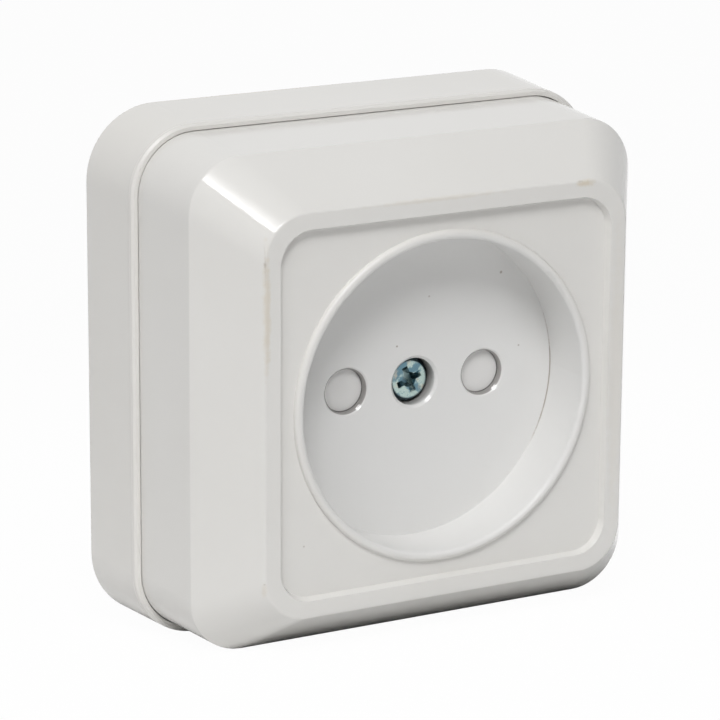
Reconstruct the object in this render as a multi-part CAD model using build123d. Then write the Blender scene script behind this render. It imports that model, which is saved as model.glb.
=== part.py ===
from build123d import *
import math
import os

# Surface-mounted two-pin socket outlet, in millimetres
# Every piece is drawn with x to the right, y up and z out of the wall, then stood up facing the user

# Square moulding: front frame, slope and sides
frame_side = 49.3
frame_corner = 5.5
frame_border = 2.05
frame_edge_round = 0.3
shoulder_depth = 23.6
shoulder_round = 0.35
cover_side = 62.0
cover_corner = 7.5
side_draft = 0.7
cover_wall = 2.0
panel_wall = 1.8

# Sunk panel, raised rim and plug well
recess_depth = 1.0
recess_draft = 0.3
recess_corner = 4.1
rim_outer_radius = 20.45
rim_width = 1.15
rim_height = 0.65
rim_round = 0.5
well_depth = 8.1
well_wall = 1.8
floor_wall = 0.9

# Plug standard
pin_spacing = 19.0
plug_pin_length = 19.0
pin_hole_radius = 2.7
hole_edge_bevel = 0.35
pin_tip_room = 0.4
pin_well_web = 1.5
pin_well_depth = 1.7

# Base tray
base_depth = 11.6
base_flare = 0.7
base_wall = 1.8
back_wall = 2.0
lip_height = 1.2
lip_thickness = 0.8
lip_bevel = 0.3
nest_clearance = 0.03
back_edge_bevel = 0.4

# Wall screw slots and cable entry in the base
slot_spacing = 44.0
slot_width = 4.4
slot_length = 8.0
slot_rim_width = 1.4
slot_rim_height = 0.8
entry_x = -16.0
entry_y = -20.0
entry_width = 14.0
entry_height = 9.0
entry_corner = 2.0
knockout_width = 12.0
knockout_web = 0.6
knockout_height = 6.5
gusset_size = 5.0
gusset_wall = 1.2

# Screw that holds the cover
cover_screw_radius = 1.5
cover_screw_room = 0.15
cover_head_radius = 2.8
cover_head_height = 2.1
cover_head_sink = 1.4
head_room = 0.15
cover_head_bevel = 0.45
screw_end_length = 1.5
screw_tip_chamfer = 0.4
cross_recess_width = 0.8
cross_recess_length = 3.4
cross_foot_length = 1.6
cross_recess_depth = 1.2
cross_centre_radius = 0.95
cross_centre_foot = 0.4
cross_turn = 22.0

# Boss behind the well floor
boss_radius = 4.4
boss_tip_radius = 3.6
boss_tip_room = 0.3

# Shutter that turns on the boss
shutter_gap = 0.1
shutter_bore_gap = 0.05
shutter_hub_radius = 6.9
shutter_hub_height = 3.2
shutter_height = 4.2
shutter_reach = 12.9
shutter_half_angle = 22.0
shutter_travel = 42.0
shutter_ramp_drop = 3.2
shutter_arm_root = 0.3
stop_width = 1.2
stop_inner_radius = 8.0
stop_gap_angle = 0.6

# Spring in the shutter's hub and the disc that holds both
spring_wire = 0.4
spring_coil_radius = 5.2
spring_arc = 300.0
spring_leg = 0.8
spring_hole_radius = 0.35
spring_rise = 0.45
spring_pocket_radius = 5.9
spring_pocket_depth = 0.9
retainer_thickness = 1.2
retainer_radius = 6.2
retainer_bevel = 0.3
retainer_gap = 0.1

# Lid over the contacts
lid_thickness = 1.6
lid_gap = 0.2
lid_half_width = 14.6
lid_corner = 1.5
lid_hole_radius = 2.8

# Insulating block that carries the contacts
block_foot = 1.0
block_half_width = 24.0
block_half_height = 5.6
block_corner = 1.2
lobe_half_width = 5.2
lobe_half_height = 14.2
block_screw_y = 10.5

# Boss and pad on the base under the block
block_boss_radius = 3.0
block_boss_height = 4.0
centre_pad_radius = 4.6
centre_pad_height = 3.3
boss_room = 0.2
support_rib_inset = 1.5
support_rib_wall = 1.2
support_rib_half_length = 4.5

# Screws that hold block and lid
block_screw_radius = 1.45
block_screw_room = 0.05
block_head_radius = 2.7
block_head_height = 1.9
block_head_bevel = 0.5
block_screw_end = 0.8
block_hole_end = 0.4
screw_hole_room = 0.15

# Nut for the cover screw
nut_across_flats = 5.5
nut_thickness = 2.4
nut_room = 0.1
nut_thread_room = 0.05
nut_edge_chamfer = 0.4

# Pin contacts
sleeve_radius = 2.45
strip_thickness = 0.8
sleeve_lid_gap = 0.3
sleeve_slit = 1.2
sleeve_ring_height = 1.6
sleeve_mouth = 0.4
tongue_width = 7.0
tongue_rise = 2.8
terminal_offset = 9.5
tongue_overhang = 3.6
neck_width = 4.4
contact_room = 0.2

# Spring clip round each contact
clip_wall = 0.4
clip_tongue_gap = 1.3
clip_inset = 1.0
clip_opening_angle = 70.0
clip_room = 0.05

# Screw terminals
terminal_screw_radius = 1.75
terminal_fit = 0.05
terminal_head_radius = 3.2
terminal_head_height = 2.0
terminal_head_bevel = 0.5
terminal_head_gap = 0.05
terminal_slot_width = 0.9
terminal_slot_depth = 1.1
terminal_tip = 2.0
saddle_side = 7.0
saddle_thickness = 1.0
saddle_groove_radius = 0.7
saddle_groove_y = 2.6
strip_hole_room = 0.15
terminal_nut_side = 6.6
terminal_nut_thickness = 2.6

# Levels above the wall
block_bottom = back_wall + block_foot
pin_well_bottom = block_bottom + pin_well_web
floor_level = pin_well_bottom + pin_tip_room + plug_pin_length
total_depth = floor_level + well_depth
panel_level = total_depth - recess_depth
floor_back = floor_level - floor_wall
shutter_top = floor_back - shutter_gap
shutter_bottom = shutter_top - shutter_height
hub_bottom = shutter_top - shutter_hub_height
retainer_top = hub_bottom - retainer_gap
retainer_bottom = retainer_top - retainer_thickness
boss_end = retainer_bottom - boss_tip_room
lid_top = boss_end - lid_gap
block_top = lid_top - lid_thickness
seat_level = base_depth - lip_height
cover_head_seat = floor_level - cover_head_sink - cover_head_height
centre_pad_top = back_wall + centre_pad_height
nut_bottom = centre_pad_top + nut_room
nut_top = nut_bottom + nut_thickness
block_seat = back_wall + block_boss_height
sleeve_floor = pin_well_bottom + pin_well_depth
tongue_level = sleeve_floor + tongue_rise
tongue_top = tongue_level + strip_thickness
saddle_top = tongue_top + saddle_thickness
sleeve_top = block_top - sleeve_lid_gap
clip_top = sleeve_top - clip_inset
clip_bottom = tongue_top + clip_tongue_gap
terminal_nut_bottom = tongue_level - terminal_nut_thickness
block_screw_tip = back_wall + block_screw_end
cover_screw_tip = nut_bottom - screw_end_length
spring_level = hub_bottom + spring_rise

# Sizes that follow from the ones above
level_tolerance = 0.001
well_radius = rim_outer_radius - rim_width
pin_x = pin_spacing / 2
terminal_x = pin_x + terminal_offset
sleeve_outer = sleeve_radius + strip_thickness
clip_outer = sleeve_outer + clip_room + clip_wall
shutter_bore = boss_radius + shutter_bore_gap
cover_bore = cover_head_radius + head_room


def square_at(side, corner, level):
    return Pos(0, 0, level) * RectangleRounded(side, side, corner)


def disc(radius, bottom, top, x=0.0, y=0.0):
    return Pos(x, y, bottom) * Cylinder(radius, top - bottom, align=(Align.CENTER, Align.CENTER, Align.MIN))


def block(width, height, bottom, top, x=0.0, y=0.0):
    return Pos(x, y, bottom) * Box(width, height, top - bottom, align=(Align.CENTER, Align.CENTER, Align.MIN))


def edges_at(solid, level):
    """Edges that lie in the plane at one level."""
    return solid.edges().filter_by_position(Axis.Z, level - level_tolerance, level + level_tolerance)


def circles_at(solid, level, radius):
    """Round edges at one level, no larger than the given radius."""
    rounds = edges_at(solid, level).filter_by(GeomType.CIRCLE)
    return [e for e in rounds if e.radius < radius + level_tolerance]


def blend(side_a, level_a, side_b, level_b, level):
    return side_a + (side_b - side_a) * (level - level_a) / (level_b - level_a)


# Front cover
def cover_section(level):
    """Side and corner of the cover's outside at one level."""
    shoulder_side = cover_side - 2 * side_draft
    shoulder_corner = cover_corner - side_draft
    if level <= shoulder_depth:
        side = blend(cover_side, seat_level, shoulder_side, shoulder_depth, level)
        return side, blend(cover_corner, seat_level, shoulder_corner, shoulder_depth, level)
    side = blend(shoulder_side, shoulder_depth, frame_side, total_depth, level)
    return side, blend(shoulder_corner, shoulder_depth, frame_corner, total_depth, level)


def cover_outside():
    levels = (seat_level, shoulder_depth, total_depth)
    outside = loft([square_at(*cover_section(level), level) for level in levels], ruled=True)
    outside = fillet(edges_at(outside, shoulder_depth), shoulder_round)
    return fillet(edges_at(outside, total_depth), frame_edge_round)


def cover_cavity():
    """Room inside the cover, one wall thickness within its outside."""
    slope_run = (cover_side - 2 * side_draft - frame_side) / 2
    slope = math.atan2(total_depth - shoulder_depth, slope_run)
    inset = cover_wall / math.sin(slope)
    panel_back = panel_level - panel_wall
    bend = shoulder_depth - cover_wall * math.tan((math.pi / 2 - slope) / 2)
    sections = []
    for level, wall in ((seat_level, cover_wall), (bend, cover_wall), (panel_back, inset)):
        side, corner = cover_section(level)
        sections.append(square_at(side - 2 * wall, corner - wall, level))
    return loft(sections, ruled=True)


def sunk_panel():
    side = frame_side - 2 * frame_border
    foot = square_at(side - 2 * recess_draft, recess_corner - recess_draft, panel_level)
    return loft([foot, square_at(side, recess_corner, total_depth)], ruled=True)


def rim_ring():
    middle = Pos(well_radius + rim_width / 2, panel_level + rim_height / 2)
    profile = middle * Rectangle(rim_width, rim_height)
    top = profile.vertices().sort_by(Axis.Y)[-2:]
    return revolve(Rot(90, 0, 0) * fillet(top, rim_round), Axis.Z)


def cover_boss():
    """Boss behind the floor that the shutter turns on, with a thinner end for its retainer."""
    return disc(boss_radius, retainer_top, floor_back) + disc(boss_tip_radius, boss_end, retainer_top)


def shutter_stops():
    """Ribs behind the floor that the shutter's arms meet at each end of their travel."""
    gap = shutter_half_angle + stop_gap_angle
    stops = []
    for side in (0, 180):
        for angle in (side - gap, side + shutter_travel + gap):
            turn = -1 if angle == side - gap else 1
            rib = Pos(0, turn * stop_width / 2, 0) * block(
                shutter_reach - stop_inner_radius, stop_width, shutter_bottom, floor_back,
                (shutter_reach + stop_inner_radius) / 2)
            stops.append(Rot(0, 0, angle) * rib)
    return stops


def cover_ribs():
    """Ribs that tie the well's wall to the outer shell."""
    ribs = []
    inner = well_radius + well_wall / 2
    for angle in range(45, 360, 90):
        reach = cover_side / 2
        rib = block(reach - inner, gusset_wall, floor_back, panel_level - panel_wall, (reach + inner) / 2)
        ribs.append(Rot(0, 0, angle) * rib)
    return [rib & cover_cavity() for rib in ribs]


def make_front_cover():
    cover = cover_outside() - cover_cavity() - sunk_panel()
    cover += disc(well_radius + well_wall, floor_back, panel_level)
    cover += rim_ring()
    for rib in cover_ribs() + shutter_stops():
        cover += rib
    cover += cover_boss()
    cover -= disc(well_radius, floor_level, total_depth)
    for x in (-pin_x, pin_x):
        cover -= disc(pin_hole_radius, floor_back - 1, total_depth, x)
    cover -= disc(cover_bore, cover_head_seat, total_depth)
    cover -= disc(cover_screw_radius + cover_screw_room, boss_end, cover_head_seat)
    return chamfer(circles_at(cover, floor_level, max(pin_hole_radius, cover_bore)), hole_edge_bevel)


# Base tray
def base_section(level, inset=0.0):
    """Side and corner of the base's outside at one level, or of a wall inset from it."""
    lip_side = cover_side + 2 * (nest_clearance + lip_thickness)
    lip_corner = cover_corner + nest_clearance + lip_thickness
    side = blend(lip_side + 2 * base_flare, 0, lip_side, base_depth, level)
    corner = blend(lip_corner + base_flare, 0, lip_corner, base_depth, level)
    return side - 2 * inset, corner - inset


def base_tray():
    """Drafted tray with the rebate in its front edge that the cover drops into."""
    levels = (
        (0, back_edge_bevel), (back_edge_bevel, 0), (base_depth - lip_bevel, 0), (base_depth, lip_bevel))
    outside = loft([square_at(*base_section(level, inset), level) for level, inset in levels], ruled=True)
    inner = [square_at(*base_section(level, base_wall), level) for level in (back_wall, base_depth)]
    hollow = loft(inner, ruled=True)
    nest = cover_side + 2 * nest_clearance
    rebate = extrude(square_at(nest, cover_corner + nest_clearance, seat_level), lip_height)
    return outside - hollow - rebate


def wall_slot(y, bottom, top, grow=0.0):
    shape = SlotOverall(slot_length + 2 * grow, slot_width + 2 * grow, rotation=90)
    return extrude(Pos(0, y, bottom) * shape, top - bottom)


def corner_gusset():
    """Rib on the diagonal between the tray's wall and its back."""
    side, corner = base_section(back_wall + gusset_size, base_wall / 2)
    reach = (side / 2 - corner) * math.sqrt(2) + corner
    outline = Polyline(
        (reach, back_wall), (reach - gusset_size, back_wall), (reach, back_wall + gusset_size), close=True)
    return Rot(90, 0, 0) * extrude(make_face(outline), gusset_wall / 2, both=True)


def knockout(side):
    """Pocket that thins the top or bottom wall to a web, to be cut out for a surface cable."""
    sections = []
    for level in (back_wall, back_wall + knockout_height):
        y = side * (base_section(level)[0] / 2 - knockout_web - base_wall / 2)
        sections.append(Pos(entry_x, y, level) * Rectangle(knockout_width, base_wall))
    return loft(sections, ruled=True)


def block_bosses():
    """Bosses for the block's screws, the pad under the cover's nut and the ribs under the block's ends."""
    feet = [disc(centre_pad_radius, back_wall, centre_pad_top)]
    rib_x = block_half_width - support_rib_inset
    rib_length = 2 * support_rib_half_length
    for side in (-1, 1):
        feet.append(disc(block_boss_radius, back_wall, block_seat, 0, side * block_screw_y))
        feet.append(block(support_rib_wall, rib_length, back_wall, block_bottom, side * rib_x))
    return feet


def make_base():
    base = base_tray()
    for angle in range(45, 360, 90):
        base += Rot(0, 0, angle) * corner_gusset()
    for foot in block_bosses():
        base += foot
    base -= disc(cover_screw_radius + cover_screw_room, back_wall, centre_pad_top)
    for side in (-1, 1):
        base -= disc(
            block_screw_radius + block_screw_room, block_screw_tip - block_hole_end, block_seat,
            0, side * block_screw_y)
        slot_y = side * slot_spacing / 2
        base += wall_slot(slot_y, back_wall, back_wall + slot_rim_height, slot_rim_width)
        base -= wall_slot(slot_y, 0, back_wall + slot_rim_height)
        base -= knockout(side)
    entry = RectangleRounded(entry_width, entry_height, entry_corner)
    return base - extrude(Pos(entry_x, entry_y, 0) * entry, back_wall)


# Shutter, its spring and its retainer
def wedge(radius, half_angle, bottom, top):
    """Slice of a disc, centred on the x axis."""
    rise = radius * math.tan(math.radians(half_angle))
    outline = Polyline((0, 0), (radius, -rise), (radius, rise), close=True)
    return extrude(Pos(0, 0, bottom) * make_face(outline), top - bottom)


def shutter_arm():
    """Arm that covers one pin hole, with the ramp that the pin presses."""
    root = shutter_hub_radius - shutter_arm_root
    arm = disc(shutter_reach, shutter_bottom, shutter_top) - disc(root, shutter_bottom, shutter_top)
    arm = arm & wedge(shutter_reach, shutter_half_angle, shutter_bottom, shutter_top)
    half = shutter_reach * math.sin(math.radians(shutter_half_angle))
    above = Polyline(
        (-half, shutter_top - shutter_ramp_drop), (half, shutter_top), (-half, shutter_top), close=True)
    ramp = extrude(Rot(90, 0, 90) * make_face(above), shutter_reach)
    return arm - Pos(shutter_hub_radius, 0, 0) * ramp


def make_shutter():
    hub = disc(shutter_hub_radius, hub_bottom, shutter_top)
    shutter = hub + shutter_arm() + Rot(0, 0, 180) * shutter_arm()
    shutter -= disc(shutter_bore, hub_bottom, shutter_top)
    shutter -= disc(spring_pocket_radius, hub_bottom, hub_bottom + spring_pocket_depth)
    pocket_top = hub_bottom + spring_pocket_depth
    leg_end = spring_level + spring_wire / 2 + spring_leg
    leg_hole = disc(spring_hole_radius, pocket_top, leg_end, spring_coil_radius)
    return shutter - Rot(0, 0, spring_arc) * leg_hole


def make_shutter_spring():
    """Open loop of flat wire whose bent ends stand in the retainer and in the shutter."""
    section = Pos(spring_coil_radius, spring_level) * Rectangle(spring_wire, spring_wire)
    loop = revolve(Rot(90, 0, 0) * section, Axis.Z, revolution_arc=spring_arc)
    foot = spring_level - spring_wire / 2
    head = spring_level + spring_wire / 2
    lower = block(spring_wire, spring_wire, foot - spring_leg, head, spring_coil_radius)
    upper = block(spring_wire, spring_wire, foot, head + spring_leg, spring_coil_radius)
    return loop + lower + Rot(0, 0, spring_arc) * upper


def make_shutter_retainer():
    retainer = disc(retainer_radius, retainer_bottom, retainer_top)
    retainer = chamfer(edges_at(retainer, retainer_bottom), retainer_bevel)
    retainer -= disc(boss_tip_radius, retainer_bottom, retainer_top)
    return retainer - disc(spring_hole_radius, retainer_bottom, retainer_top, spring_coil_radius)


# Screws and nuts
def screw(head_radius, head_height, head_bevel, seat, shank_radius, tip):
    """Pan-headed screw with its head on the seat and its tip towards the wall."""
    head = disc(head_radius, seat, seat + head_height)
    head = chamfer(edges_at(head, seat + head_height), head_bevel)
    shank = disc(shank_radius, tip, seat)
    return head + chamfer(edges_at(shank, tip), screw_tip_chamfer)


def cross_recess(top):
    """Cross-shaped driver recess, narrower at its foot and widened round its middle."""
    middle = top - cross_recess_depth / 2
    recess = Pos(0, 0, middle) * Cone(cross_centre_foot, cross_centre_radius, cross_recess_depth)
    for angle in (cross_turn, cross_turn + 90):
        mouth = Rot(0, 0, angle) * Rectangle(cross_recess_length, cross_recess_width)
        foot = Rot(0, 0, angle) * Rectangle(cross_foot_length, cross_recess_width)
        recess += loft([Pos(0, 0, top - cross_recess_depth) * foot, Pos(0, 0, top) * mouth], ruled=True)
    return recess


def make_cover_screw():
    body = screw(
        cover_head_radius, cover_head_height, cover_head_bevel, cover_head_seat,
        cover_screw_radius, cover_screw_tip)
    return body - cross_recess(cover_head_seat + cover_head_height)


def make_cover_nut():
    hexagon = RegularPolygon(nut_across_flats / 2, 6, major_radius=False)
    nut = extrude(Pos(0, 0, nut_bottom) * hexagon, nut_thickness)
    return nut - disc(cover_screw_radius + nut_thread_room, nut_bottom, nut_top)


def make_block_screws():
    """Two like screws through the lid and the block into the base."""
    body = screw(
        block_head_radius, block_head_height, block_head_bevel, lid_top,
        block_screw_radius, block_screw_tip)
    body -= cross_recess(lid_top + block_head_height)
    return [Pos(0, side * block_screw_y, 0) * body for side in (-1, 1)]


def make_terminal_screw():
    """Slotted screw of a terminal, tightened down on its saddle."""
    seat = saddle_top + terminal_head_gap
    body = screw(
        terminal_head_radius, terminal_head_height, terminal_head_bevel, seat,
        terminal_screw_radius, terminal_nut_bottom - terminal_tip)
    top = seat + terminal_head_height
    slot = block(2 * terminal_head_radius, terminal_slot_width, top - terminal_slot_depth, top)
    return Pos(terminal_x, 0, 0) * (body - slot)


# Insulating block and its lid
def cross_plan(half_width, corner):
    """Plan of the block: a bar across and the lobes for its screws above and below."""
    plan = Rectangle(2 * half_width, 2 * block_half_height)
    plan += Rectangle(2 * lobe_half_width, 2 * lobe_half_height)
    return chamfer(plan.vertices(), corner)


def contact_room_at_right():
    """Room in the block for one contact, its nut, its screw's end and the plug's pin."""
    pocket = disc(clip_outer + contact_room, sleeve_floor, block_top, pin_x)
    pocket += disc(pin_hole_radius, pin_well_bottom, sleeve_floor, pin_x)
    half = tongue_width / 2 + contact_room
    length = block_half_width - pin_x
    pocket += block(length, 2 * half, tongue_level, block_top, pin_x + length / 2)
    nut_side = terminal_nut_side + 2 * contact_room
    pocket += block(nut_side, nut_side, terminal_nut_bottom, tongue_level, terminal_x)
    tip_radius = terminal_screw_radius + contact_room
    return pocket + disc(tip_radius, block_bottom, terminal_nut_bottom, terminal_x)


def make_contact_block():
    plan = Pos(0, 0, block_bottom) * cross_plan(block_half_width, block_corner)
    body = extrude(plan, block_top - block_bottom)
    for angle in (0, 180):
        body -= Rot(0, 0, angle) * contact_room_at_right()
    body -= disc(cover_screw_radius + cover_screw_room, block_bottom, block_top)
    body -= disc(centre_pad_radius + boss_room, block_bottom, centre_pad_top)
    nut_room_shape = RegularPolygon(nut_across_flats / 2 + nut_room, 6, major_radius=False)
    body -= extrude(Pos(0, 0, centre_pad_top) * nut_room_shape, nut_top - centre_pad_top)
    for y in (-block_screw_y, block_screw_y):
        body -= disc(block_boss_radius + boss_room, block_bottom, block_seat, 0, y)
        body -= disc(block_screw_radius + screw_hole_room, block_seat, block_top, 0, y)
    return body


def make_block_lid():
    lid = extrude(Pos(0, 0, block_top) * cross_plan(lid_half_width, lid_corner), lid_thickness)
    lid -= disc(cover_screw_radius + cover_screw_room, block_top, lid_top)
    for side in (-1, 1):
        lid -= disc(lid_hole_radius, block_top, lid_top, side * pin_x)
        lid -= disc(block_screw_radius + screw_hole_room, block_top, lid_top, 0, side * block_screw_y)
    return lid


# Contacts and terminals of the right-hand pin
def make_contact():
    """Strip rolled to a slit sleeve for the pin, with a tongue out to the terminal."""
    sleeve = disc(sleeve_outer, sleeve_floor, sleeve_top, pin_x)
    neck_end = pin_x + clip_outer + contact_room
    tongue_end = terminal_x + tongue_overhang
    neck = block(neck_end - pin_x, neck_width, tongue_level, tongue_top, (neck_end + pin_x) / 2)
    tongue = block(tongue_end - neck_end, tongue_width, tongue_level, tongue_top, (tongue_end + neck_end) / 2)
    contact = sleeve + neck + tongue
    contact -= disc(sleeve_radius, sleeve_floor, sleeve_top, pin_x)
    contact = chamfer(circles_at(contact, sleeve_top, sleeve_radius), sleeve_mouth)
    contact -= block(
        sleeve_slit, 2 * sleeve_outer, sleeve_floor + sleeve_ring_height, sleeve_top, pin_x)
    return contact - disc(terminal_screw_radius + strip_hole_room, tongue_level, tongue_top, terminal_x)


def make_contact_clip():
    """Spring clip that presses the sleeve's halves together."""
    clip = disc(clip_outer, clip_bottom, clip_top) - disc(clip_outer - clip_wall, clip_bottom, clip_top)
    clip -= Rot(0, 0, 180) * wedge(2 * clip_outer, clip_opening_angle / 2, clip_bottom, clip_top)
    return Pos(pin_x, 0, 0) * clip


def make_terminal_nut():
    nut = block(terminal_nut_side, terminal_nut_side, terminal_nut_bottom, tongue_level)
    nut = chamfer(nut.edges().filter_by(Axis.Z), nut_edge_chamfer)
    nut -= disc(terminal_screw_radius + terminal_fit, terminal_nut_bottom, tongue_level)
    return Pos(terminal_x, 0, 0) * nut


def make_saddle():
    """Square plate under the terminal screw's head, grooved for the wires."""
    saddle = block(saddle_side, saddle_side, tongue_top, saddle_top)
    saddle = chamfer(saddle.edges().filter_by(Axis.Z), nut_edge_chamfer)
    for side in (-1, 1):
        groove = Rot(0, 90, 0) * Cylinder(saddle_groove_radius, saddle_side)
        saddle -= Pos(0, side * saddle_groove_y, tongue_top) * groove
    saddle -= disc(terminal_screw_radius + terminal_fit, tongue_top, saddle_top)
    return Pos(terminal_x, 0, 0) * saddle


def save(name, solids):
    """Stand a piece up, with its back to the wall at +Y, and write it."""
    pieces = solids if isinstance(solids, list) else [solids]
    upright = [Rot(90, 0, 0) * piece for piece in pieces]
    export_step(upright[0] if len(upright) == 1 else Compound(upright), f"parts/{name}.step")


def main():
    os.makedirs("parts", exist_ok=True)
    save("base", make_base())
    save("front_cover", make_front_cover())
    save("shutter", make_shutter())
    save("shutter_spring", make_shutter_spring())
    save("shutter_retainer", make_shutter_retainer())
    save("cover_screw", make_cover_screw())
    save("cover_nut", make_cover_nut())
    save("contact_block", make_contact_block())
    save("block_lid", make_block_lid())
    save("block_screws", make_block_screws())
    pairs = {
        "contact": make_contact(),
        "contact_clip": make_contact_clip(),
        "terminal_nut": make_terminal_nut(),
        "saddle": make_saddle(),
        "terminal_screw": make_terminal_screw(),
    }
    for name, piece in pairs.items():
        save(f"right_{name}", piece)
        save(f"left_{name}", Rot(0, 0, 180) * piece)


main()
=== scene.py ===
import bpy
import bmesh
import math
from mathutils import Matrix, Vector


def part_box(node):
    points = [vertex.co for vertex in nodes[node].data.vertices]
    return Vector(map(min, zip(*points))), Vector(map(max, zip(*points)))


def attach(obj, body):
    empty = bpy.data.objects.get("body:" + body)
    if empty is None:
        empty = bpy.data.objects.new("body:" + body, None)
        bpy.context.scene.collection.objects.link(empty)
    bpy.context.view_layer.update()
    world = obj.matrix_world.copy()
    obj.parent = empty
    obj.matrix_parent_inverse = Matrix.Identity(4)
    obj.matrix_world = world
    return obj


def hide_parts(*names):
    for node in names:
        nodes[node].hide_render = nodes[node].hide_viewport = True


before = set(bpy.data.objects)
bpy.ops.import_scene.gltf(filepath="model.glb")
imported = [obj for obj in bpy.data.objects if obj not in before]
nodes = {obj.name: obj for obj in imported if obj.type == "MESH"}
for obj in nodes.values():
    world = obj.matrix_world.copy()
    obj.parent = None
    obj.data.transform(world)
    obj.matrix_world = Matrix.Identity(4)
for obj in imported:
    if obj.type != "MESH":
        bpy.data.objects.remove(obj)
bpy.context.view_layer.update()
print("frame loaded:", len(nodes), "nodes")


# Shader maths: a wire is one output socket, and a sum or product of wires adds the Math node for it
class Wire:
    def __init__(self, shader, socket):
        self.shader = shader
        self.socket = socket

    def maths(self, operation, *values):
        return self.shader.add("Math", {"operation": operation}, dict(enumerate(values)))

    def __add__(self, other):
        return self.maths("ADD", self, other)

    def __radd__(self, other):
        return self.maths("ADD", other, self)

    def __sub__(self, other):
        return self.maths("SUBTRACT", self, other)

    def __rsub__(self, other):
        return self.maths("SUBTRACT", other, self)

    def __mul__(self, other):
        return self.maths("MULTIPLY", self, other)

    def __rmul__(self, other):
        return self.maths("MULTIPLY", other, self)

    def __abs__(self):
        return self.maths("ABSOLUTE", self)

    def __pow__(self, power):
        return self.maths("POWER", self, power)

    def atLeast(self, other):
        return self.maths("MAXIMUM", self, other)

    def ramp(self, start, end):  # smooth 0 to 1 as this goes from start to end
        return self.shader.add(
            "MapRange", {"interpolation_type": "SMOOTHSTEP"},
            {"Value": self, "From Min": start, "From Max": end})

    def band(self, rise, fall):  # up from 0 to 1 over the first stretch and down again over the second
        return self.ramp(*rise) * (1 - self.ramp(*fall))


class Shader:
    mixColours = (6, 7, 2)  # a Mix node's two colour inputs and its colour output

    def __init__(self, name, tree=None, ending="Material"):
        self.ending = ending
        self.material = None if tree else bpy.data.materials.new(name)
        if self.material:
            self.material.use_nodes = True
            tree = self.material.node_tree
        self.tree = tree
        self.tree.nodes.clear()

    def add(self, kind, settings=None, values=None, output=0):
        node = self.tree.nodes.new("ShaderNode" + kind)
        for key, value in (settings or {}).items():
            setattr(node, key, value)
        for key, value in (values or {}).items():
            self.plug(node.inputs[key], value)
        return Wire(self, node.outputs[output])

    def plug(self, socket, value):
        if isinstance(value, Wire):
            self.tree.links.new(value.socket, socket)
        elif hasattr(value, "__len__") and socket.type == "RGBA":
            socket.default_value = (*value, 1.0)
        else:
            socket.default_value = value

    def place(self):
        return self.add("TexCoord", output="Object")

    def split(self, vector):
        apart = self.add("SeparateXYZ", values={0: vector})
        return [Wire(self, apart.socket.node.outputs[i]) for i in range(3)]

    def axes(self):  # x, y and z of the object's own frame
        return self.split(self.place())

    def depth(self):  # y, which grows towards the wall
        return self.axes()[1]

    def fromAxis(self, spacing=0.0):  # distance from the nearer of the lines along y this far left and right
        x, y, z = self.axes()
        across = abs(x) - spacing
        return (across * across + z * z) ** 0.5

    def noise(self, scale, detail, roughness=0.5, vector=None):
        return self.add("TexNoise", values={
            "Vector": vector or self.place(), "Scale": scale, "Detail": detail, "Roughness": roughness})

    def patches(self, pattern):  # a noise spread to 0 and 1 between two of its values
        return self.noise(*pattern["noise"]).ramp(*pattern["between"])

    def stretched(self, scale):  # the object's place with each axis scaled by its own amount
        return self.add("Mapping", values={"Vector": self.place(), "Scale": scale})

    def near(self, spot, sizes, wobble, fade):  # 1 at a spot, 0 outside a ragged oval of these half sizes
        apart = self.add("VectorMath", {"operation": "SUBTRACT"}, {0: self.place(), 1: spot})
        scaled = self.add("VectorMath", {"operation": "DIVIDE"}, {0: apart, 1: sizes})
        away = self.add("VectorMath", {"operation": "LENGTH"}, {0: scaled}, "Value")
        return 1 - (away + wobble).ramp(*fade)

    def mixed(self, factor, first, second):
        low, high, out = self.mixColours
        return self.add("Mix", {"data_type": "RGBA"}, {0: factor, low: first, high: second}, out)

    def relief(self, height, normal=None):  # bump from a height in metres, on a normal where given
        values = {"Strength": 1.0, "Distance": 1.0, "Height": height}
        return self.add("Bump", values=dict(values, Normal=normal) if normal else values)

    def backdropRays(self, mirrored=1.0):  # 1 for the camera's rays, this much for mirrored and clear ones
        rays = self.add("LightPath").socket.node.outputs
        seen = Wire(self, rays["Is Camera Ray"])
        for kind in ("Is Glossy Ray", "Is Transmission Ray"):
            seen = seen.atLeast(Wire(self, rays[kind]) * mirrored)
        return seen

    def show(self, surface):
        out = self.tree.nodes.new("ShaderNodeOutput" + self.ending)
        self.plug(out.inputs["Surface"], surface)
        return self.material

    def finish(self, values):
        return self.show(self.add("BsdfPrincipled", values=values))


# Glossy white plastic. A noise is given as scale, detail and roughness, and heights are in metres
whiteLook = {
    "pale": (0.798, 0.787, 0.762), "deep": (0.782, 0.770, 0.743),  # the two tones it drifts between
    "drift": {"noise": (38.0, 3.0), "between": (0.30, 0.70)},
    "fresh": (0.795, 0.792, 0.782),  # inside the well, a cooler tone painted against the yellow that bounced light gives it
    # the darkest tone here is painted shade for the walls of the holes
    "stain": (0.650, 0.555, 0.400), "dirtAndCreviceShade": (0.300, 0.240, 0.190), "grime": (0.150, 0.135, 0.125),
    "fray": 1.2, "frayed": (900.0, 4.0, 0.65), "fade": (0.25, 1.0),  # the ragged edge of a mark
    "roughness": 0.09, "smudge": 0.05, "smudges": {"noise": (95.0, 4.0, 0.6), "between": (0.30, 0.80)},
    "edgeDullness": 0.28, "refraction": 1.49,
    "ripple": 0.000010, "ripples": (70.0, 1.0), "grain": 0.0000004, "grains": (1500.0, 1.0),
    "edgeSoftness": 0.00018, "edgeSamples": 6,
}
baseLook = dict(whiteLook, pale=(0.797, 0.783, 0.754), deep=(0.780, 0.765, 0.733))
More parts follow.
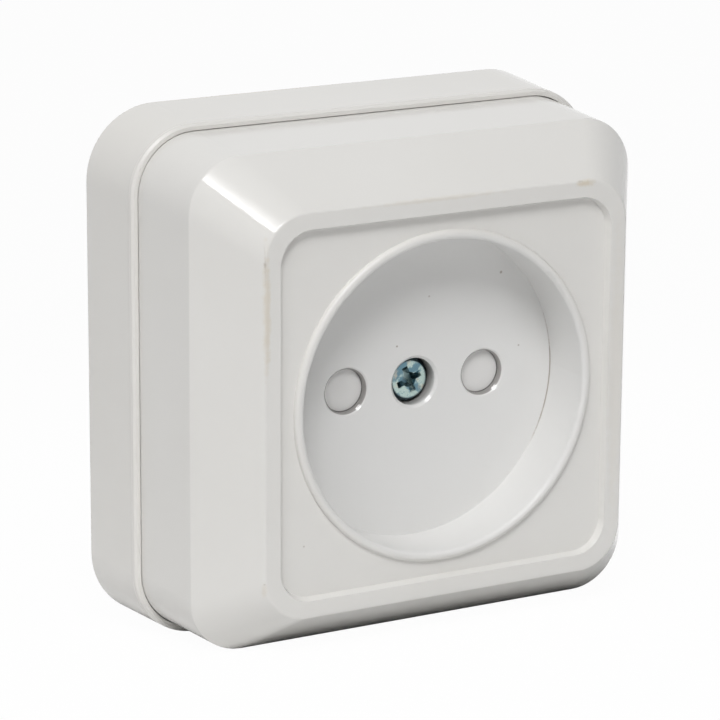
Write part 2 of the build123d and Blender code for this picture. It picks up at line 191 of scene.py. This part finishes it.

# Where the cover is worn and dirty, and where shade and a cooler well tone are painted into its colour.
# Distances go out from the plug's axis, and depths along y
coverWearAndShade = {
    "marks": [
        # tone, place and half sizes in metres, strength: the frame's yellowed edges, then dark specks
        ("stain", (-0.0244, -0.0319, 0.0135), (0.0006, 0.0012, 0.0110), 0.40),
        ("dirtAndCreviceShade", (-0.02462, -0.0318, 0.0190), (0.00014, 0.0005, 0.0044), 0.18),
        ("dirtAndCreviceShade", (-0.02462, -0.0318, 0.0192), (0.00022, 0.0004, 0.0006), 0.45),
        ("stain", (0.0237, -0.0320, 0.0000), (0.0014, 0.0010, 0.0260), 0.10),
        ("stain", (-0.0247, -0.0318, -0.0203), (0.0004, 0.0010, 0.0014), 0.20),
        ("stain", (0.0187, -0.0319, 0.0243), (0.0017, 0.0010, 0.0006), 0.60),
        ("dirtAndCreviceShade", (0.0180, -0.0318, 0.0246), (0.0006, 0.0005, 0.00018), 0.30),
        ("stain", (-0.0020, -0.0319, 0.0245), (0.0120, 0.0008, 0.0004), 0.18),
        ("dirtAndCreviceShade", (-0.00251, -0.0239, 0.00477), (0.00022, 0.0003, 0.00022), 0.75),
        ("dirtAndCreviceShade", (0.01469, -0.0239, 0.00281), (0.00022, 0.0003, 0.00022), 0.60),
        ("dirtAndCreviceShade", (0.01199, -0.0239, 0.01235), (0.00024, 0.0003, 0.00024), 0.65),
        ("dirtAndCreviceShade", (0.00702, -0.0280, 0.02612), (0.00030, 0.0004, 0.00030), 0.40),
        ("dirtAndCreviceShade", (0.00190, -0.0239, 0.01050), (0.00018, 0.0003, 0.00018), 0.40),
        ("dirtAndCreviceShade", (-0.0190, -0.0310, -0.01600), (0.00018, 0.0003, 0.00018), 0.40),
        ("dirtAndCreviceShade", (-0.0247, -0.0318, -0.0196), (0.00018, 0.0005, 0.00018), 0.35),
    ],
    "well": (0.0204, 0.0190),  # from the rim inwards the colour turns to the cooler well tone, painted against the yellow of bounced light
    "holes": [  # painted shade on the walls of the two pin holes, then of the screw's hole, where shade falls in them
        {"spacing": 0.0095, "reach": (0.00283, 0.00295), "depth": (-0.02384, -0.02370), "strength": 0.72},
        {"spacing": 0.0, "reach": (0.00305, 0.00320), "depth": (-0.0238, -0.0226), "strength": 0.60},
    ],
    "corner": {  # painted shade along the corner between the well's floor and its wall
        "radius": 0.0193, "nearRadius": (0.00004, 0.00014),
        "level": -0.0239, "nearLevel": (0.00006, 0.00022),
        "spot": (0.0186, -0.0239, -0.0020), "sizes": (0.0040, 0.0020, 0.0100), "strength": 0.7},
    "rim": {"rise": (0.0190, 0.0194), "fall": (0.0204, 0.0207)},  # where plugs have dulled it
}
baseWear = {
    "marks": [("stain", (-0.0120, -0.0002, 0.0325), (0.0200, 0.0006, 0.0012), 0.45)],
    "lip": (-0.0106, -0.0110),  # over this depth the lip turns dull
}


# the plastic's own tones, stains and dirt, together with painted shade in the holes and the well's crevice
def wornAndShadedColour(shader, look, wearAndShade):
    colour = shader.mixed(shader.patches(look["drift"]), look["pale"], look["deep"])
    # painted light: the well's inside is set cooler against its yellow bounced light
    if "well" in wearAndShade:
        colour = shader.mixed(shader.fromAxis().ramp(*wearAndShade["well"]), colour, look["fresh"])
    wobble = (shader.noise(*look["frayed"]) - 0.5) * look["fray"]
    for tone, spot, sizes, strength in wearAndShade["marks"]:
        mark = shader.near(spot, sizes, wobble, look["fade"]) * strength
        colour = shader.mixed(mark, colour, look[tone])
    # painted shade: the walls of the holes darken from just inside their mouths inwards
    for hole in wearAndShade.get("holes", ()):
        within = 1 - shader.fromAxis(hole["spacing"]).ramp(*hole["reach"])
        deep = shader.depth().ramp(*hole["depth"])
        colour = shader.mixed(within * deep * hole["strength"], colour, look["grime"])
    # painted shade in the crevice round the well's floor, inside a ragged window
    if "corner" in wearAndShade:
        corner = wearAndShade["corner"]
        line = 1 - abs(shader.fromAxis() - corner["radius"]).ramp(*corner["nearRadius"])
        low = 1 - abs(shader.depth() - corner["level"]).ramp(*corner["nearLevel"])
        window = shader.near(corner["spot"], corner["sizes"], wobble, look["fade"])
        colour = shader.mixed(line * low * window * corner["strength"], colour, look["dirtAndCreviceShade"])
    return colour


def wornRoughness(shader, look, wearAndShade):
    roughness = look["roughness"] + shader.patches(look["smudges"]) * look["smudge"]
    if "lip" in wearAndShade:
        roughness = roughness + shader.depth().ramp(*wearAndShade["lip"]) * look["edgeDullness"]
    if "rim" in wearAndShade:
        rim = wearAndShade["rim"]
        roughness = roughness + shader.fromAxis().band(rim["rise"], rim["fall"]) * look["edgeDullness"]
    return roughness


def mouldedPlastic(name, look, wearAndShade):
    shader = Shader(name)
    height = shader.noise(*look["ripples"]) * look["ripple"] + shader.noise(*look["grains"]) * look["grain"]
    rounded = shader.add("Bevel", {"samples": look["edgeSamples"]}, {"Radius": look["edgeSoftness"]})
    return shader.finish({
        "Base Color": wornAndShadedColour(shader, look, wearAndShade), "Roughness": wornRoughness(shader, look, wearAndShade),
        "IOR": look["refraction"], "Normal": shader.relief(height, rounded)})


coverPlastic = mouldedPlastic("coverPlastic", whiteLook, coverWearAndShade)
basePlastic = mouldedPlastic("basePlastic", baseLook, baseWear)

# Plain plastics of the shutter and of the block inside
plainLook = {
    "drift": {"noise": (120.0, 3.0), "between": (0.3, 0.7)}, "grains": (3000.0, 1.0),
    "flecks": {"noise": (1500.0, 2.0), "between": (0.6, 0.75)}, "fleckShine": 0.1,
}
shutterLook = dict(
    plainLook, pale=(0.80, 0.792, 0.780), deep=(0.78, 0.772, 0.760), roughness=0.45, grain=0.0000008,
    gapShadeRing={  # painted shade: a dark ring where the edge of a pin hole meets the shutter, for the shadowed gap between them
        "spacing": 0.0095, "rise": (0.00256, 0.00270), "fall": (0.00285, 0.00310),
        "tone": (0.13, 0.12, 0.115), "strength": 0.9})
blockLook = dict(
    plainLook, pale=(0.62, 0.60, 0.54), deep=(0.56, 0.54, 0.48), roughness=0.55, grain=0.0000030)


def plainMoulding(name, look):
    shader = Shader(name)
    colour = shader.mixed(shader.patches(look["drift"]), look["pale"], look["deep"])
    if "gapShadeRing" in look:
        gapShadeRing = look["gapShadeRing"]
        # painted shade of the gap round each pin hole
        gapShade = shader.fromAxis(gapShadeRing["spacing"]).band(gapShadeRing["rise"], gapShadeRing["fall"])
        colour = shader.mixed(gapShade * gapShadeRing["strength"], colour, gapShadeRing["tone"])
    return shader.finish({
        "Base Color": colour,
        "Roughness": look["roughness"] - shader.patches(look["flecks"]) * look["fleckShine"],
        "Normal": shader.relief(shader.noise(*look["grains"]) * look["grain"])})


shutterPlastic = plainMoulding("shutterPlastic", shutterLook)
blockPlastic = plainMoulding("blockPlastic", blockLook)
print("plastics made")

# Metals
zincLook = {
    "blue": (0.30, 0.42, 0.48), "green": (0.44, 0.52, 0.50), "straw": (0.60, 0.56, 0.44),
    "tints": (420.0, 2.0), "greenFrom": (0.42, 0.60),  # noise of the plating, and where in it green begins
    "blotches": {"noise": (650.0, 2.0), "between": (0.60, 0.72)}, "blotch": 0.6,
    "roughness": 0.26, "dullness": 0.14, "dullFrom": (0.45, 0.75), "pit": 0.000004, "pits": (1800.0, 3.0),
}
# Zinc of the cover screw, with painted shade round its head and in its cross
wornShadedZincLook = dict(
    zincLook, blue=(0.13, 0.23, 0.28), green=(0.44, 0.55, 0.52), straw=(0.60, 0.52, 0.40),
    tints=(1000.0, 2.0), roughness=0.22, pit=0.000012, shade=(0.050, 0.085, 0.110),
    edge=(0.00215, 0.00240), edgeShade=0.85, recess=(-0.0224, -0.0217), recessShade=0.55)
pressedLook = {
    "drawn": (1.0, 3.0), "drawnHeight": 0.0000010, "drawnTone": 0.2,  # fine lines along the strip
    "tarnish": {"noise": (260.0, 4.0, 0.65), "between": (0.42, 0.70)},
    "tarnishTone": 0.6, "tarnishDullness": 0.15,
}
brassLook = dict(
    pressedLook, bright=(0.80, 0.60, 0.27), dull=(0.52, 0.36, 0.17), roughness=0.28,
    along=(300.0, 300.0, 6000.0))
springLook = dict(
    pressedLook, bright=(0.55, 0.55, 0.56), dull=(0.36, 0.36, 0.38), roughness=0.30,
    along=(6000.0, 400.0, 400.0))


def zincPlate(name, look):
    shader = Shader(name)
    tints = shader.noise(*look["tints"])
    colour = shader.mixed(tints.ramp(*look["greenFrom"]), look["blue"], look["green"])
    colour = shader.mixed(shader.patches(look["blotches"]) * look["blotch"], colour, look["straw"])
    if "shade" in look:  # painted shade round the head, where its bore shadows it, and down in its cross
        outside = shader.fromAxis().ramp(*look["edge"])
        inside = shader.depth().ramp(*look["recess"])
        colour = shader.mixed(outside * look["edgeShade"], colour, look["shade"])
        colour = shader.mixed(inside * look["recessShade"], colour, look["shade"])
    return shader.finish({
        "Base Color": colour, "Metallic": 1.0,
        "Roughness": look["roughness"] + tints.ramp(*look["dullFrom"]) * look["dullness"],
        "Normal": shader.relief(shader.noise(*look["pits"]) * look["pit"])})


def pressedMetal(name, look):
    shader = Shader(name)
    drawn = shader.noise(*look["drawn"], vector=shader.stretched(look["along"]))
    tarnish = shader.patches(look["tarnish"])
    dulled = tarnish * look["tarnishTone"] + drawn * look["drawnTone"]
    return shader.finish({
        "Base Color": shader.mixed(dulled, look["bright"], look["dull"]), "Metallic": 1.0,
        "Roughness": look["roughness"] + tarnish * look["tarnishDullness"],
        "Normal": shader.relief(drawn * look["drawnHeight"])})


zincSteel = zincPlate("zincSteel", zincLook)
wornShadedZinc = zincPlate("wornShadedZinc", wornShadedZincLook)
contactBrass = pressedMetal("contactBrass", brassLook)
springSteel = pressedMetal("springSteel", springLook)
print("metals made")

finishes = {
    "front_cover": coverPlastic, "base": basePlastic, "shutter": shutterPlastic,
    "shutter_retainer": blockPlastic, "contact_block": blockPlastic, "block_lid": blockPlastic,
    "shutter_spring": springSteel, "cover_nut": zincSteel,
}
for side in ("left", "right"):
    finishes[side + "_contact"] = contactBrass
    finishes[side + "_terminal_nut"] = contactBrass
    finishes[side + "_contact_clip"] = springSteel
    finishes[side + "_saddle"] = zincSteel

for name, material in finishes.items():
    nodes[name].data.materials.clear()
    nodes[name].data.materials.append(material)


def added(name, data):
    thing = bpy.data.objects.new(name, data)
    bpy.context.scene.collection.objects.link(thing)
    return thing


def addedMesh(name, shape):
    mesh = bpy.data.meshes.new(name)
    shape.to_mesh(mesh)
    shape.free()
    return added(name, mesh)


# Screws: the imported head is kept, and the plain shank gives way to a threaded one. Lengths are in
# metres, and core and crest are radii
terminalScrew = {
    "headHeight": 0.0020, "core": 0.00142, "crest": 0.00175, "pitch": 0.0006,
    "finish": zincSteel}
screwLook = {
    "cover_screw": {
        "body": "socket", "headHeight": 0.0021, "core": 0.00122, "crest": 0.00150, "pitch": 0.0005,
        "finish": wornShadedZinc},
    "block_screws": {
        "body": "socket", "headHeight": 0.0019, "core": 0.00105, "crest": 0.00145, "pitch": 0.0009,
        "finish": zincSteel},
    "left_terminal_screw": dict(terminalScrew, body="left_screw"),
    "right_terminal_screw": dict(terminalScrew, body="right_screw"),
}
threadForm = {
    "steps": 28,  # in one turn
    "tooth": (0.40, 0.50, 0.90),  # parts of a pitch where it has risen, begins to fall and has fallen
    "sunk": 0.00005,  # the tooth starts this far inside the core
    "neck": 0.5, "plain": 1.5,  # in pitches: packed shank kept under the head, stretch without thread
    "apart": 4,  # two screws of one node are farther apart than this many crests
    "merge": 0.0000005,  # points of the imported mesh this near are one
}


def mergedCopy(node):
    shape = bmesh.new()
    shape.from_mesh(nodes[node].data)
    bmesh.ops.remove_doubles(shape, verts=shape.verts, dist=threadForm["merge"])
    return shape


def screwAxes(shape, crest):  # x and z of each screw in the shape
    reach = threadForm["apart"] * crest
    spots = []
    for v in shape.verts:
        if all(math.hypot(v.co.x - x, v.co.z - z) > reach for x, z in spots):
            spots.append((v.co.x, v.co.z))
    found = []
    for x, z in spots:
        near = [v.co for v in shape.verts if math.hypot(v.co.x - x, v.co.z - z) <= reach]
        found.append((
            (min(c.x for c in near) + max(c.x for c in near)) / 2,
            (min(c.z for c in near) + max(c.z for c in near)) / 2))
    return found


def cutShank(shape, level):
    everything = shape.verts[:] + shape.edges[:] + shape.faces[:]
    bmesh.ops.bisect_plane(
        shape, geom=everything, plane_co=(0, level, 0), plane_no=(0, 1, 0), clear_outer=True)
    bmesh.ops.holes_fill(shape, edges=[e for e in shape.edges if e.is_boundary], sides=0)


def addThread(shape, look, x, z, seat, end):  # a core from the head's seat to the end, and a tooth round it
    pitch, steps = look["pitch"], threadForm["steps"]
    bmesh.ops.create_cone(
        shape, cap_ends=True, segments=steps, radius1=look["core"], radius2=look["core"], depth=end - seat,
        matrix=Matrix.Translation((x, (seat + end) / 2, z)) @ Matrix.Rotation(math.pi / 2, 4, "X"))
    turns = int((end - seat - threadForm["plain"] * pitch) / pitch)
    start = end - turns * pitch - pitch
    inner = look["core"] - threadForm["sunk"]
    risen, falls, fallen = (share * pitch for share in threadForm["tooth"])
    outline = ((inner, 0), (look["crest"], risen), (look["crest"], falls), (inner, fallen))
    tooth = shape.faces.new([shape.verts.new((x + r, start + y, z)) for r, y in outline])
    bmesh.ops.spin(
        shape, geom=[tooth], cent=(x, start, z), axis=(0, 1, 0), dvec=(0, pitch / steps, 0),
        angle=2 * math.pi * turns, steps=turns * steps, use_merge=False)


def threadedScrew(node, look):
    shape = mergedCopy(node)
    low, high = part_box(node)
    seat = low.y + look["headHeight"]
    axes = screwAxes(shape, look["crest"])
    cutShank(shape, seat + threadForm["neck"] * look["pitch"])
    for x, z in axes:
        addThread(shape, look, x, z, seat, high.y)
    bmesh.ops.recalc_face_normals(shape, faces=shape.faces)
    piece = addedMesh(node + "_threaded", shape)
    piece.data.materials.append(look["finish"])
    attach(piece, look["body"])
    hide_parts(node)


for node, look in screwLook.items():
    threadedScrew(node, look)
print("screws threaded:", len(screwLook))

# Floor: it touches the base's front edge and the cover's shoulder, as when the socket stands on a table
floorLook = {
    "touching": ((-0.0113, -0.03187), (-0.02353, -0.03032)),  # y and z of the two lines it rests on
    "size": 8.0, "showsWhite": 0.97,
    "table": (0.50, 0.50, 0.50), "sheet": (0.95, 0.95, 0.95),
    "sheetEdge": (0.09, 0.28),  # how far from the socket the white sheet fades into the grey table
    "middle": -0.014, "shaded": (0.034, 0.050),  # y under the socket, and how far its own shade is mirrored
}


def floorPaper():
    shader = Shader("floorPaper")
    x, y, z = shader.axes()
    forward = y - floorLook["middle"]
    distance = (x * x + forward * forward) ** 0.5
    shown = shader.backdropRays(distance.ramp(*floorLook["shaded"])) * floorLook["showsWhite"]
    colour = shader.mixed(distance.ramp(*floorLook["sheetEdge"]), floorLook["sheet"], floorLook["table"])
    paper = shader.add("BsdfDiffuse", values={"Color": colour})
    white = shader.add("Emission", values={"Color": (1.0, 1.0, 1.0), "Strength": 1.0})
    above = shader.add("MixShader", values={0: shown, 1: paper, 2: white})
    below = shader.add("NewGeometry", output="Backfacing")
    clear = shader.add("BsdfTransparent")
    return shader.show(shader.add("MixShader", values={0: below, 1: above, 2: clear}))


def makeFloor():
    (y0, z0), (y1, z1) = floorLook["touching"]
    tilt = math.atan2(z0 - z1, y0 - y1)
    shape = bmesh.new()
    place = Matrix.Translation((0, y0, z0)) @ Matrix.Rotation(tilt, 4, "X")
    bmesh.ops.create_grid(shape, x_segments=2, y_segments=2, size=floorLook["size"] / 2, matrix=place)
    floor = addedMesh("floor", shape)
    floor.data.materials.append(floorPaper())


makeFloor()

# Studio: soft glows from above, behind and the left, a narrow box high on the left that fades upwards
# and a square one above and in front
aimedAt = Vector((0.0, -0.020, 0.0))  # the point of the socket that boxes and camera face
studio = {
    "glows": [((0, 0, 1), 0.52), ((0, 1, 0), 0.46), ((-1, 0, 0), 0.13)],  # direction and strength of each
    "boxes": {
        # towards and up: directions from the socket and of the box's upper edge; metres; brightest radiance
        "highBox": {
            "towards": (-0.358, -0.295, 0.885), "up": (0.573, 0.157, 0.283), "away": 0.9,
            "size": (0.16, 0.62), "glow": 17.5, "fade": 4},  # the power by which it fades
        "frontBox": {
            "towards": (-0.34, -0.565, 0.75), "up": (0, 0, 1), "away": 1.0,
            "size": (0.32, 0.32), "glow": 15.5},
    },
}


def turnedTo(place, right, up, back):
    return Matrix.Translation(place) @ Matrix((right, up, back)).transposed().to_4x4()


def fadeLamp(lamp, power):
    lamp.use_nodes = True
    glow = Shader(lamp.name, lamp.node_tree, "Light")
    upward = glow.split(glow.add("NewGeometry", output="Parametric"))[1]
    glow.show(glow.add("Emission", values={"Strength": (1 - upward) ** power}))


def makeBox(name, box):
    lamp = bpy.data.lights.new(name, "AREA")
    lamp.shape = "RECTANGLE"
    width, height = box["size"]
    lamp.size, lamp.size_y = width, height
    lamp.energy = box["glow"] * math.pi * width * height
    if "fade" in box:
        fadeLamp(lamp, box["fade"])
    towards = Vector(box["towards"]).normalized()
    side = Vector(box["up"]).cross(towards).normalized()
    added(name, lamp).matrix_world = turnedTo(
        towards * box["away"] + aimedAt, side, towards.cross(side), towards)


def makeWorld():
    world = bpy.data.worlds.new("studio")
    bpy.context.scene.world = world
    world.use_nodes = True
    air = Shader("studio", world.node_tree, "World")
    plain = air.backdropRays()
    outwards = air.add("TexCoord", output="Generated")
    strength = plain
    for source, amount in studio["glows"]:
        facing = air.add("VectorMath", {"operation": "DOT_PRODUCT"}, {0: outwards, 1: source}, "Value")
        lit = facing.atLeast(0.0)
        strength = strength + lit * lit * amount * (1 - plain)
    air.show(air.add("Background", values={"Color": (1.0, 1.0, 1.0), "Strength": strength}))


for name, box in studio["boxes"].items():
    makeBox(name, box)
makeWorld()
print("studio lit")

# Camera
view = {
    "turned": 29.17, "raised": 15.195, "rolled": 0.373,  # degrees: to the left, upwards, about its own axis
    "away": 0.448293, "shiftRight": 0.004731, "shiftUp": -0.001762,  # metres
    "lens": 183.5, "sensor": 36.0, "sees": (0.01, 50.0),  # millimetres, and the nearest and farthest metre
}


def makeCamera():
    turned, raised, rolled = (math.radians(view[k]) for k in ("turned", "raised", "rolled"))
    flat = math.cos(raised)
    ahead = Vector((math.sin(turned) * flat, math.cos(turned) * flat, -math.sin(raised)))
    level = Vector((math.cos(turned), -math.sin(turned), 0))
    upright = level.cross(ahead)
    right = level * math.cos(rolled) + upright * math.sin(rolled)
    up = upright * math.cos(rolled) - level * math.sin(rolled)
    camera = added("camera", bpy.data.cameras.new("camera"))
    camera.data.lens = view["lens"]
    camera.data.sensor_width = view["sensor"]
    camera.data.clip_start, camera.data.clip_end = view["sees"]
    place = aimedAt - right * view["shiftRight"] - up * view["shiftUp"] - ahead * view["away"]
    camera.matrix_world = turnedTo(place, right, up, -ahead)
    bpy.context.scene.camera = camera


makeCamera()
bpy.context.scene.view_settings.view_transform = "Standard"
print("camera set")
